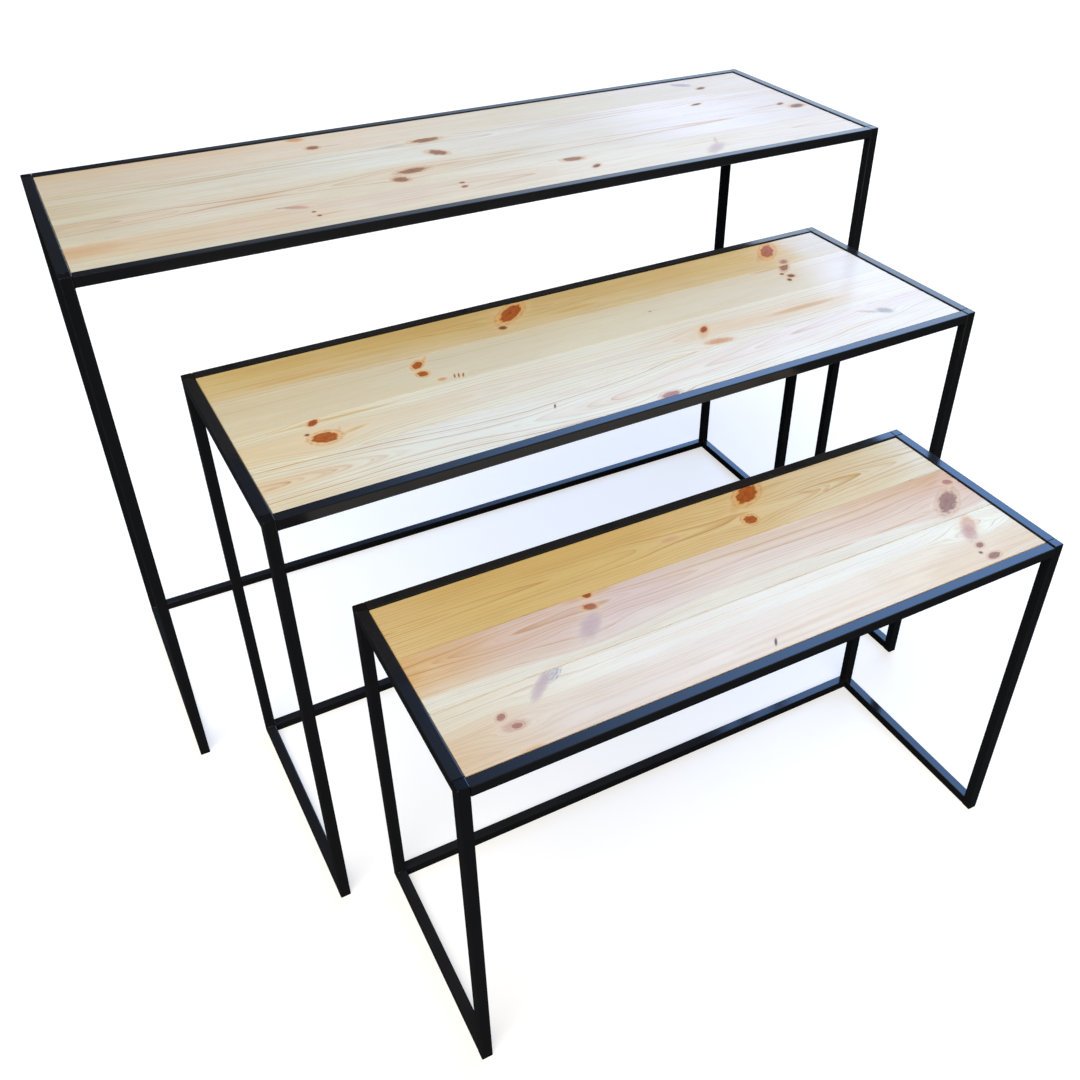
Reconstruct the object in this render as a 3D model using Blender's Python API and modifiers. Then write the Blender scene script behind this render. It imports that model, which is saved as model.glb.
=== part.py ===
"""Set of three nesting tables: black square-tube frames with tongue-and-groove pine tops.

Each table stands on two closed end frames. A front rail, a back rail and a low back rail
tie the end frames together, and the front stays open at the floor, so that the next
smaller table slides in underneath. Units are metres, +Z is up, +Y is the back of the set,
and the origin is the centre of the whole set's footprint on the floor.
"""
import math
from collections import namedtuple

import bmesh
import bpy

MM = 0.001

# Square steel tube
TUBE = 16 * MM
TUBE_WALL = 1.2 * MM
TUBE_CORNER = 1.5 * MM
CORNER_SEGMENTS = 3

# Pine boards, laid lengthwise
BOARD_THICKNESS = 10 * MM
BOARD_RECESS = 2 * MM          # board face below the top of the end frames
BOARD_END_GAP = 1 * MM         # board end to crossbar
BOARD_SIDE_GAP = 0.6 * MM      # outer board to rail
BOARD_ARRIS = 0.9 * MM         # chamfer that makes the V joint
TONGUE_LENGTH = 3.5 * MM
TONGUE_THICKNESS = 3 * MM
GROOVE_CLEARANCE = 0.3 * MM

# Flat bars under the boards, welded between the front and back rails
BEARER_WIDTH = 20 * MM
BEARER_THICKNESS = 3 * MM
BEARER_CORNER = 0.4 * MM
BEARER_END_SHARE = 0.17        # outer bearers' distance from the ends, share of the length

# Clearance between pieces that touch
TOUCH = 0.3 * MM

# place is the table's centre seen from the large table's centre, turn is about +Z,
# front_drop is how far the front rail sits below the end frames
Table = namedtuple(
    "Table", "name length depth height boards bearers place turn front_drop"
)
LARGE = Table("large", 1340 * MM, 435 * MM, 893 * MM, 4, 3, (0.0, 0.0), 0.0, 0.5 * MM)
MIDDLE = Table("middle", 1130 * MM, 399 * MM, 721 * MM, 4, 3,
               (15 * MM, -398 * MM), math.radians(1.13), 1 * MM)
SMALL = Table("small", 904 * MM, 338 * MM, 556 * MM, 3, 2,
              (-6 * MM, -772 * MM), 0.0, 2 * MM)
TABLES = (LARGE, MIDDLE, SMALL)

# The set's footprint runs from the small table's front to the large table's back
SET_FRONT = SMALL.place[1] - SMALL.depth / 2
SET_BACK = LARGE.place[1] + LARGE.depth / 2
SET_SHIFT_Y = -(SET_FRONT + SET_BACK) / 2

PAINT_COLOUR = (0.012, 0.013, 0.016)
PAINT_ROUGHNESS = 0.38
BEARER_COLOUR = (0.018, 0.018, 0.020)
BEARER_ROUGHNESS = 0.5
PINE_COLOURS = {
    "large": (0.78, 0.66, 0.50),
    "middle": (0.80, 0.66, 0.42),
    "small": (0.83, 0.62, 0.36),
}
PINE_ROUGHNESS = 0.42

BOX_TOP, BOX_BOTTOM = 1, -1


def clear_scene():
    for item in list(bpy.data.objects):
        bpy.data.objects.remove(item, do_unlink=True)


def principled(name, colour, roughness, metallic=0.0):
    material = bpy.data.materials.new(name)
    material.use_nodes = True
    shader = material.node_tree.nodes["Principled BSDF"]
    shader.inputs["Base Color"].default_value = (*colour, 1.0)
    shader.inputs["Roughness"].default_value = roughness
    shader.inputs["Metallic"].default_value = metallic
    material.diffuse_color = (*colour, 1.0)
    return material


def add_object(name, data, parent, location, material, rotation=(0.0, 0.0, 0.0)):
    item = bpy.data.objects.new(name, data)
    bpy.data.collections["nesting_tables"].objects.link(item)
    item.parent = parent
    item.location = location
    item.rotation_euler = rotation
    data.materials.append(material)
    return item


def tube_mesh(name, length, capped):
    """Walls of a square tube along +Z from its base, open below and, unless capped, above."""
    mesh = bpy.data.meshes.new(name)
    work = bmesh.new()
    bmesh.ops.create_cube(work, size=1.0)
    bmesh.ops.scale(work, vec=(TUBE, TUBE, length), verts=work.verts)
    bmesh.ops.translate(work, vec=(0.0, 0.0, length / 2), verts=work.verts)
    open_sides = (BOX_BOTTOM,) if capped else (BOX_BOTTOM, BOX_TOP)
    ends = [face for face in work.faces if round(face.normal.z) in open_sides]
    bmesh.ops.delete(work, geom=ends, context="FACES_ONLY")
    rounding = work.edges.layers.float.new("bevel_weight_edge")
    for edge in work.edges:
        edge[rounding] = 1.0 if len(edge.link_faces) == 2 else 0.0
    work.to_mesh(mesh)
    work.free()
    return mesh


def finish_tube(item):
    corners = item.modifiers.new("rounded_corners", "BEVEL")
    corners.limit_method = "WEIGHT"
    corners.width = TUBE_CORNER
    corners.segments = CORNER_SEGMENTS
    wall = item.modifiers.new("wall", "SOLIDIFY")
    wall.thickness = TUBE_WALL
    wall.offset = -1.0
    wall.use_even_offset = True


def add_tube(table, part, parent, start, rotation, length, capped=False):
    name = f"{table.name}_{part}"
    paint = principled(f"{name}_paint", PAINT_COLOUR, PAINT_ROUGHNESS)
    item = add_object(name, tube_mesh(name, length, capped), parent, start, paint, rotation)
    finish_tube(item)


ALONG_X = (0.0, math.radians(90), 0.0)
ALONG_Y = (math.radians(-90), 0.0, 0.0)
ALONG_Z = (0.0, 0.0, 0.0)


def add_end_frames(table, parent):
    """Two legs, a top crossbar and a foot crossbar at each end of the table."""
    leg_x = (table.length - TUBE) / 2
    leg_y = (table.depth - TUBE) / 2
    bar_start = -table.depth / 2 + TUBE + TOUCH
    bar_length = table.depth - 2 * (TUBE + TOUCH)
    for side, x in (("left", -leg_x), ("right", leg_x)):
        for row, y in (("front", -leg_y), ("back", leg_y)):
            add_tube(table, f"leg_{row}_{side}", parent, (x, y, 0.0), ALONG_Z,
                     table.height, capped=True)
        for level, z in (("top", table.height - TUBE / 2), ("foot", TUBE / 2)):
            add_tube(table, f"{level}_crossbar_{side}", parent, (x, bar_start, z),
                     ALONG_Y, bar_length)


def add_rails(table, parent):
    """Front and back rails under the top's edges, and the low rail at the back."""
    rail_start = -table.length / 2 + TUBE + TOUCH
    rail_length = table.length - 2 * (TUBE + TOUCH)
    rail_y = (table.depth - TUBE) / 2
    top_z = table.height - TUBE / 2
    rails = (
        ("top_rail_front", -rail_y, top_z - table.front_drop),
        ("top_rail_back", rail_y, top_z),
        ("foot_rail_back", rail_y, TUBE / 2),
    )
    for part, y, z in rails:
        add_tube(table, part, parent, (rail_start, y, z), ALONG_X, rail_length)


def board_outline(width, tongue, groove):
    """Section of one board, from its front edge at 0 to its back edge at width."""
    middle = BOARD_THICKNESS / 2
    half_tongue = TONGUE_THICKNESS / 2
    half_groove = half_tongue + GROOVE_CLEARANCE
    groove_depth = TONGUE_LENGTH + 2 * GROOVE_CLEARANCE
    points = [(0.0, 0.0), (width, 0.0)]
    if tongue:
        points += [(width, middle - half_tongue),
                   (width + TONGUE_LENGTH, middle - half_tongue),
                   (width + TONGUE_LENGTH, middle + half_tongue),
                   (width, middle + half_tongue)]
    points += [(width, BOARD_THICKNESS - BOARD_ARRIS),
               (width - BOARD_ARRIS, BOARD_THICKNESS),
               (BOARD_ARRIS, BOARD_THICKNESS),
               (0.0, BOARD_THICKNESS - BOARD_ARRIS)]
    if groove:
        points += [(0.0, middle + half_groove), (groove_depth, middle + half_groove),
                   (groove_depth, middle - half_groove), (0.0, middle - half_groove)]
    return points


def board_curve(name, outline, length):
    curve = bpy.data.curves.new(name, "CURVE")
    curve.dimensions = "2D"
    curve.fill_mode = "BOTH"
    curve.extrude = length / 2
    spline = curve.splines.new("POLY")
    spline.points.add(len(outline) - 1)
    for point, (across, up) in zip(spline.points, outline):
        point.co = (across, up, 0.0, 1.0)
    spline.use_cyclic_u = True
    return curve


def add_boards(table, parent):
    """Boards laid lengthwise, each tongue pointing back into the next board's groove."""
    inner_depth = table.depth - 2 * (TUBE + BOARD_SIDE_GAP)
    pitch = (inner_depth + TOUCH) / table.boards
    length = table.length - 2 * (TUBE + BOARD_END_GAP)
    floor_of_board = table.height - BOARD_RECESS - BOARD_THICKNESS
    lengthwise = (math.radians(90), 0.0, math.radians(90))
    for index in range(table.boards):
        name = f"{table.name}_board_{index + 1}"
        outline = board_outline(pitch - TOUCH, tongue=index < table.boards - 1,
                                groove=index > 0)
        pine = principled(f"{name}_pine", PINE_COLOURS[table.name], PINE_ROUGHNESS)
        front_edge = -inner_depth / 2 + index * pitch
        add_object(name, board_curve(name, outline, length), parent,
                   (0.0, front_edge, floor_of_board), pine, lengthwise)


def bar_mesh(name, size):
    mesh = bpy.data.meshes.new(name)
    work = bmesh.new()
    bmesh.ops.create_cube(work, size=1.0)
    bmesh.ops.scale(work, vec=size, verts=work.verts)
    work.to_mesh(mesh)
    work.free()
    return mesh


def add_bearers(table, parent):
    """Flat bars from the front rail to the back rail, just under the boards."""
    reach = table.length * (0.5 - BEARER_END_SHARE)
    size = (BEARER_WIDTH, table.depth - 2 * (TUBE + TOUCH), BEARER_THICKNESS)
    top = table.height - BOARD_RECESS - BOARD_THICKNESS - TOUCH
    for index in range(table.bearers):
        x = -reach + 2 * reach * index / (table.bearers - 1)
        name = f"{table.name}_bearer_{index + 1}"
        paint = principled(f"{name}_paint", BEARER_COLOUR, BEARER_ROUGHNESS)
        bar = add_object(name, bar_mesh(name, size), parent,
                         (x, 0.0, top - BEARER_THICKNESS / 2), paint)
        softened = bar.modifiers.new("softened_edges", "BEVEL")
        softened.width = BEARER_CORNER
        softened.segments = 1


def add_table(table):
    stand = bpy.data.objects.new(f"{table.name}_table", None)
    bpy.data.collections["nesting_tables"].objects.link(stand)
    stand.location = (table.place[0], table.place[1] + SET_SHIFT_Y, 0.0)
    stand.rotation_euler = (0.0, 0.0, table.turn)
    add_end_frames(table, stand)
    add_rails(table, stand)
    add_bearers(table, stand)
    add_boards(table, stand)


def main():
    clear_scene()
    parts = bpy.data.collections.new("nesting_tables")
    bpy.context.scene.collection.children.link(parts)
    for table in TABLES:
        add_table(table)


main()
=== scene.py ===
"""Looks for a set of three nesting tables: powder-coated square tube and lacquered pine boards.

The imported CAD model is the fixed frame. The tubes and flat bars keep their CAD shape and get a
satin paint. The boards are replaced by boards with rounded arrises and a slight crown. Weld beads,
seam ridges and screws are added. Lengths are in metres, except in wood textures, which work in
millimetres from the front left corner of their own table's top.
"""

import math
from collections import namedtuple

import bmesh
import bpy
from mathutils import Matrix, Vector


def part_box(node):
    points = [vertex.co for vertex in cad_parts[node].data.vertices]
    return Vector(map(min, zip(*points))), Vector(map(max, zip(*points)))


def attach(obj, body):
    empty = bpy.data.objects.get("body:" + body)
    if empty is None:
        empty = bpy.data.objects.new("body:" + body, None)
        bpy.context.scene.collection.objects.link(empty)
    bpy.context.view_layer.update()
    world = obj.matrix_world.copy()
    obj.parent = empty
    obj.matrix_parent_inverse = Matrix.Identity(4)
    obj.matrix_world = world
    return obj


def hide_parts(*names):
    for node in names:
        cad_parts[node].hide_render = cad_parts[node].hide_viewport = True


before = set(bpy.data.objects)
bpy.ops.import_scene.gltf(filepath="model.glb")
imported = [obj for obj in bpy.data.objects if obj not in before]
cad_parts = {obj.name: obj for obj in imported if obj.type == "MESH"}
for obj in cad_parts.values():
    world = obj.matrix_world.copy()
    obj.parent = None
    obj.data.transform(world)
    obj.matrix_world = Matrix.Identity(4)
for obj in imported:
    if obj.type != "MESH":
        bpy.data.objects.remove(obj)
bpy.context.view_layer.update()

MM = 0.001


# -------- tables, read from the frame

TableTop = namedtuple("TableTop", "name place length depth height tube")


def centre(node):
    low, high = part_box(node)
    return (low + high) / 2


def table_top(name):
    """One table's size, and the matrix from its own axes (front left corner, at the floor)."""
    left = centre(f"{name}_top_crossbar_left")
    right = centre(f"{name}_top_crossbar_right")
    front = centre(f"{name}_top_rail_front")
    back = centre(f"{name}_top_rail_back")
    low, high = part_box(f"{name}_top_rail_back")
    tube = high.z - low.z
    along = (right - left).normalized()
    across = Vector((-along.y, along.x, 0.0))
    length = (right - left).length + tube
    depth = (back - front).dot(across) + tube
    middle = (left + right) / 2
    corner = middle - along * length / 2 - across * depth / 2
    turn = math.atan2(along.y, along.x)
    place = Matrix.Translation((corner.x, corner.y, 0.0)) @ Matrix.Rotation(turn, 4, "Z")
    return TableTop(name, place, length, depth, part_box(f"{name}_leg_front_left")[1].z, tube)


TABLES = {name: table_top(name) for name in ("large", "middle", "small")}
BODY = {name: f"{name}_table" for name in TABLES}


# -------- node shorthand

class Nodes:
    """Short calls for one node tree. An input is a number, a tuple or another node's output."""

    def __init__(self, tree):
        self.tree = tree

    def add(self, kind, inputs=(), out=0, **settings):
        node = self.tree.nodes.new(kind)
        for key, value in settings.items():
            setattr(node, key, value)
        self.fill(node, inputs if isinstance(inputs, dict) else dict(enumerate(inputs)))
        return node.outputs[out]

    def fill(self, node, inputs):
        """Plugs values into a node's inputs, by their names or numbers."""
        for key, value in inputs.items():
            self.plug(value, node.inputs[key])

    def plug(self, value, socket):
        if value is None:
            return
        if isinstance(value, bpy.types.NodeSocket):
            self.tree.links.new(value, socket)
        elif isinstance(value, tuple) and len(value) == 3 and socket.type == "RGBA":
            socket.default_value = (*value, 1.0)
        else:
            socket.default_value = value

    def math(self, operation, *values):
        return self.add("ShaderNodeMath", values, operation=operation)

    def vector(self, operation, *values):
        out = 1 if operation in ("LENGTH", "DOT_PRODUCT") else 0
        return self.add("ShaderNodeVectorMath", values, out=out, operation=operation)

    def noise(self, vector, scale, detail=2.0, roughness=0.5):
        inputs = {"Vector": vector, "Scale": scale, "Detail": detail, "Roughness": roughness}
        return self.add("ShaderNodeTexNoise", inputs)

    def stretched(self, vector, stretch, detail=2.0, roughness=0.5):
        """Noise with its own number of features per unit along x, y and z."""
        return self.noise(self.vector("MULTIPLY", vector, stretch), 1.0, detail, roughness)

    def times(self, first, second):
        return self.math("MULTIPLY", first, second)

    def swing(self, noise, reach, base):
        """The base value, moved up and down with the noise."""
        return self.math("MULTIPLY_ADD", self.math("SUBTRACT", noise, 0.5), reach, base)

    def tint(self, colour, factor):
        return self.mix(1.0, colour, factor, "MULTIPLY")

    def bump(self, strength, depth, height):
        inputs = {"Strength": strength, "Distance": depth, "Height": height}
        return self.add("ShaderNodeBump", inputs)

    def steps(self, value, low, high, to_low=0.0, to_high=1.0):
        inputs = {"Value": value, "From Min": low, "From Max": high,
                  "To Min": to_low, "To Max": to_high}
        return self.add("ShaderNodeMapRange", inputs, interpolation_type="SMOOTHSTEP")

    def ramp(self, value, stops, interpolation="EASE"):
        """A colour ramp. Each stop is a place from 0 to 1 with a level or a colour."""
        ramp = self.tree.nodes.new("ShaderNodeValToRGB")
        ramp.color_ramp.interpolation = interpolation
        elements = ramp.color_ramp.elements
        while len(elements) < len(stops):
            elements.new(0.5)
        for element, (place, level) in zip(elements, stops):
            element.position = min(place, 1.0)
            element.color = (*level, 1.0) if isinstance(level, tuple) else (level, level, level, 1.0)
        self.plug(value, ramp.inputs[0])
        return ramp.outputs[0]

    def mix(self, share, first, second, blend="MIX"):
        return self.add("ShaderNodeMix", {0: share, 6: first, 7: second}, out=2,
                        data_type="RGBA", blend_type=blend, clamp_factor=True)

    def split(self, vector):
        node = self.tree.nodes.new("ShaderNodeSeparateXYZ")
        self.plug(vector, node.inputs[0])
        return tuple(node.outputs)

    def join(self, x, y, z):
        return self.add("ShaderNodeCombineXYZ", (x, y, z))


def new_material(name):
    """An empty material with one Principled shader; returns it, its nodes and the shader."""
    material = bpy.data.materials.new(name)
    material.use_nodes = True
    tree = material.node_tree
    return material, Nodes(tree), tree.nodes["Principled BSDF"]


# -------- satin black powder coat

PAINT_DARK = (0.0022, 0.0023, 0.0027)
PAINT_LIGHT = (0.0046, 0.0048, 0.0055)
# a paler colour painted on sharp arrises, picked out by pointiness
PAINT_ARRIS = (0.020, 0.021, 0.024)
PAINT_IOR = 1.40
TUBE_ROUGHNESS = 0.11
BAR_ROUGHNESS = 0.42
PEEL_SCALE = 420.0            # noise features per metre: orange peel, then patches and dust
PATCH_SCALE = 14.0
DUST_SCALE = 240.0
PATCH_LEVELS = (0.35, 0.7)    # noise levels between which the paint goes from dark to light
PATCH_GLOSS = 0.06            # how far patches and dust change the roughness
DUST_GLOSS = 0.04
ARRIS_POINTINESS = (0.53, 0.60)
ARRIS_SHARE = 0.6
PEEL_STRENGTH = 0.12
PEEL_DEPTH = 0.2 * MM


def powder_coat(name, roughness):
    """Satin black with orange peel, faint dust and slightly paler arrises."""
    material, nodes, shader = new_material(name)
    place = nodes.add("ShaderNodeTexCoord", out=3)
    peel = nodes.noise(place, PEEL_SCALE)
    wide = nodes.noise(place, PATCH_SCALE, 3.0, 0.6)
    fine = nodes.noise(place, DUST_SCALE)
    pointed = nodes.add("ShaderNodeNewGeometry", out="Pointiness")
    edge = nodes.steps(pointed, *ARRIS_POINTINESS)
    colour = nodes.mix(nodes.steps(wide, *PATCH_LEVELS), PAINT_DARK, PAINT_LIGHT)
    # sharp arrises are painted paler
    colour = nodes.mix(nodes.times(edge, ARRIS_SHARE), colour, PAINT_ARRIS)
    gloss = nodes.swing(fine, DUST_GLOSS, nodes.swing(wide, PATCH_GLOSS, roughness))
    nodes.fill(shader, {"Base Color": colour, "Roughness": gloss, "IOR": PAINT_IOR,
                        "Normal": nodes.bump(PEEL_STRENGTH, PEEL_DEPTH, peel)})
    return material


# -------- knots in the pine

# centre x, y in mm from the table's front left corner, length and width in mm, turn in degrees
Knot = namedtuple("Knot", "x y length width turn kind")

# core, rim and halo colours, how strongly they cover the wood, how soft the outline is, how
# clearly a dark ring stands round it, and whether the grain flows round the mark
Kind = namedtuple("Kind", "core rim halo strength soft ring bends")

KIND_ROWS = {
    "red": ((0.46, 0.105, 0.015), (0.2, 0.036, 0.007), (0.82, 0.42, 0.12), 0.96, 0.16, 0.55, True),
    "brown": ((0.34, 0.14, 0.06), (0.13, 0.05, 0.024), (0.72, 0.42, 0.2), 0.9, 0.24, 0.35, True),
    "ember": ((0.38, 0.075, 0.015), (0.22, 0.04, 0.01), (0.8, 0.43, 0.17), 0.95, 0.24, 0.15, True),
    "dark": ((0.2, 0.085, 0.03), (0.065, 0.026, 0.011), (0.7, 0.37, 0.14), 0.93, 0.24, 0.2, True),
    "orange": ((0.66, 0.28, 0.09), (0.44, 0.15, 0.045), (0.78, 0.5, 0.24), 0.7, 0.4, 0.1, True),
    "plum": ((0.42, 0.17, 0.12), (0.2, 0.07, 0.055), (0.74, 0.46, 0.3), 0.85, 0.26, 0.45, True),
    "rose": ((0.56, 0.29, 0.2), (0.38, 0.17, 0.13), (0.76, 0.54, 0.38), 0.7, 0.46, 0.1, True),
    "grey": ((0.42, 0.37, 0.34), (0.26, 0.22, 0.21), (0.7, 0.62, 0.54), 0.74, 0.42, 0.1, True),
    "pale": ((0.53, 0.36, 0.34), (0.44, 0.28, 0.3), (0.7, 0.58, 0.47), 0.62, 0.6, 0.0, True),
    "inked": ((0.6, 0.55, 0.5), (0.07, 0.08, 0.11), (0.66, 0.6, 0.55), 0.75, 0.3, 0.8, False),
    "streak": ((0.66, 0.36, 0.14), (0.55, 0.27, 0.1), (0.76, 0.54, 0.32), 0.55, 0.7, 0.0, False),
    "amber": ((0.68, 0.41, 0.13), (0.57, 0.31, 0.09), (0.75, 0.54, 0.24), 0.65, 0.7, 0.0, False),
    "smoke": ((0.48, 0.34, 0.2), (0.4, 0.27, 0.15), (0.68, 0.55, 0.4), 0.42, 0.75, 0.0, False),
    "tick": ((0.1, 0.07, 0.035), (0.06, 0.042, 0.024), (0.6, 0.45, 0.28), 0.9, 0.3, 0.0, False),
}

KINDS = {name: Kind(*row) for name, row in KIND_ROWS.items()}

KNOT_ROWS = {
    "large": (
        (338, 107, 34, 13, -24, "rose"), (322, 113, 26, 3, -18, "tick"), (356, 78, 6, 5, 0, "dark"),
        (359, 61, 6, 6, 0, "dark"), (374, 63, 44, 4, 3, "streak"), (593, 90, 8, 7, 0, "brown"),
        (590, 73, 11, 8, 25, "brown"), (794, 108, 32, 17, -8, "brown"),
        (813, 61, 18, 9, 35, "dark"), (1032, 47, 48, 18, 38, "pale"),
        (1052, 78, 30, 5, 62, "smoke"), (546, 176, 46, 20, 4, "brown"),
        (600, 180, 60, 5, 4, "streak"), (515, 147, 24, 20, -35, "brown"),
        (1298, 177, 28, 17, 8, "dark"), (1278, 201, 16, 9, 25, "dark"),
        (1250, 200, 60, 4, 2, "smoke"), (619, 308, 44, 20, 3, "brown"),
        (566, 303, 50, 9, 2, "smoke"), (614, 239, 32, 20, -48, "brown"),
        (1138, 269, 20, 8, 12, "dark"), (425, 409, 26, 16, -15, "orange"),
        (440, 356, 20, 16, 0, "brown"), (466, 354, 40, 4, -3, "smoke"),
        (1181, 389, 36, 18, -32, "grey"), (1204, 354, 18, 11, 20, "dark"),
        (30, 84, 120, 34, 0, "streak"),
    ),
    "middle": (
        (494, 352, 60, 25, 42, "red"), (462, 313, 12, 11, 0, "dark"),
        (450, 314, 26, 5, 0, "streak"), (992, 352, 54, 22, 50, "red"),
        (968, 338, 40, 10, 42, "streak"), (990, 303, 16, 12, 40, "plum"),
        (978, 287, 34, 13, 50, "brown"), (950, 291, 60, 10, 4, "streak"),
        (110, 325, 170, 5, 0, "amber"), (148, 317, 120, 8, 1, "amber"),
        (590, 319, 70, 8, 2, "amber"), (956, 264, 7, 6, 0, "dark"), (965, 251, 12, 10, 0, "dark"),
        (953, 240, 9, 7, 60, "dark"), (303, 267, 22, 13, 50, "red"), (316, 276, 22, 5, 55, "amber"),
        (300, 240, 15, 14, 0, "red"), (318, 213, 12, 7, 0, "orange"),
        (337, 213, 10, 2.5, 72, "brown"), (343, 212, 11, 2.5, 70, "brown"),
        (349, 210, 10, 2.5, 68, "brown"), (688, 252, 6, 5, 0, "grey"),
        (122, 188, 17, 11, 38, "ember"), (155, 187, 130, 5, -1, "amber"),
        (125, 146, 32, 24, -8, "red"), (106, 163, 6, 5, 0, "dark"), (146, 152, 22, 4, 72, "streak"),
        (164, 147, 32, 5, 12, "amber"), (726, 160, 20, 10, 45, "ember"),
        (722, 154, 34, 12, 50, "streak"), (725, 118, 40, 14, -8, "orange"),
        (905, 149, 100, 10, 0, "streak"), (575, 21, 28, 13, 4, "plum"),
        (421, 71, 10, 2.5, 62, "tick"), (1012, 77, 22, 15, -30, "grey"),
        (990, 84, 36, 6, -30, "smoke"), (30, 66, 18, 5, 0, "streak"),
    ),
    "small": (
        (590, 306, 48, 26, 35, "red"), (566, 293, 44, 12, 36, "amber"),
        (558, 252, 20, 18, 0, "red"), (433, 266, 24, 9, 0, "streak"),
        (699, 258, 12, 6, 10, "streak"), (671, 268, 26, 5, -18, "streak"),
        (275, 217, 12, 10, 0, "ember"), (275, 215, 64, 7, 0, "streak"),
        (268, 195, 17, 12, -15, "ember"), (251, 163, 44, 21, 44, "pale"),
        (871, 190, 15, 12, -15, "ember"), (836, 153, 54, 24, 38, "brown"),
        (820, 139, 20, 10, 35, "inked"), (860, 168, 40, 7, 36, "streak"),
        (858, 211, 60, 5, 6, "streak"), (170, 111, 24, 12, 36, "inked"),
        (150, 100, 46, 12, 44, "pale"), (822, 97, 32, 18, 52, "orange"),
        (811, 84, 34, 17, 52, "rose"), (802, 55, 13, 9, 15, "brown"), (791, 42, 5, 5, 0, "dark"),
        (803, 29, 20, 11, 8, "brown"), (87, 76, 12, 9, 35, "plum"), (96, 57, 26, 14, -4, "rose"),
        (98, 56, 13, 8, -8, "plum"), (438, 30, 12, 3, 55, "tick"), (98, 18, 26, 3, 0, "streak"),
        (740, 142, 90, 3, 1, "streak"), (620, 141, 60, 2.5, -1, "streak"),
    ),
}

KNOTS = {name: [Knot(*row) for row in rows] for name, rows in KNOT_ROWS.items()}

# A board's rings: the pith runs along the board, at piths (x, y) and depths (x, depth below the
# face), which makes straight lines or nested flames. Within heart_radius of the pith the wood
# has its heart colour, beyond it the sap colour, both as rows of x, then red, green and blue in
# hundredths. Lengths are in mm. line is how dark the ring lines are.
# Along x these colours also hold painted light: the paler, near-white stretches towards the right
# ends stand in for light falling on the boards from the right and back.
Board = namedtuple("Board", "piths depths spacing heart_radius heart sap line seed")

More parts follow.
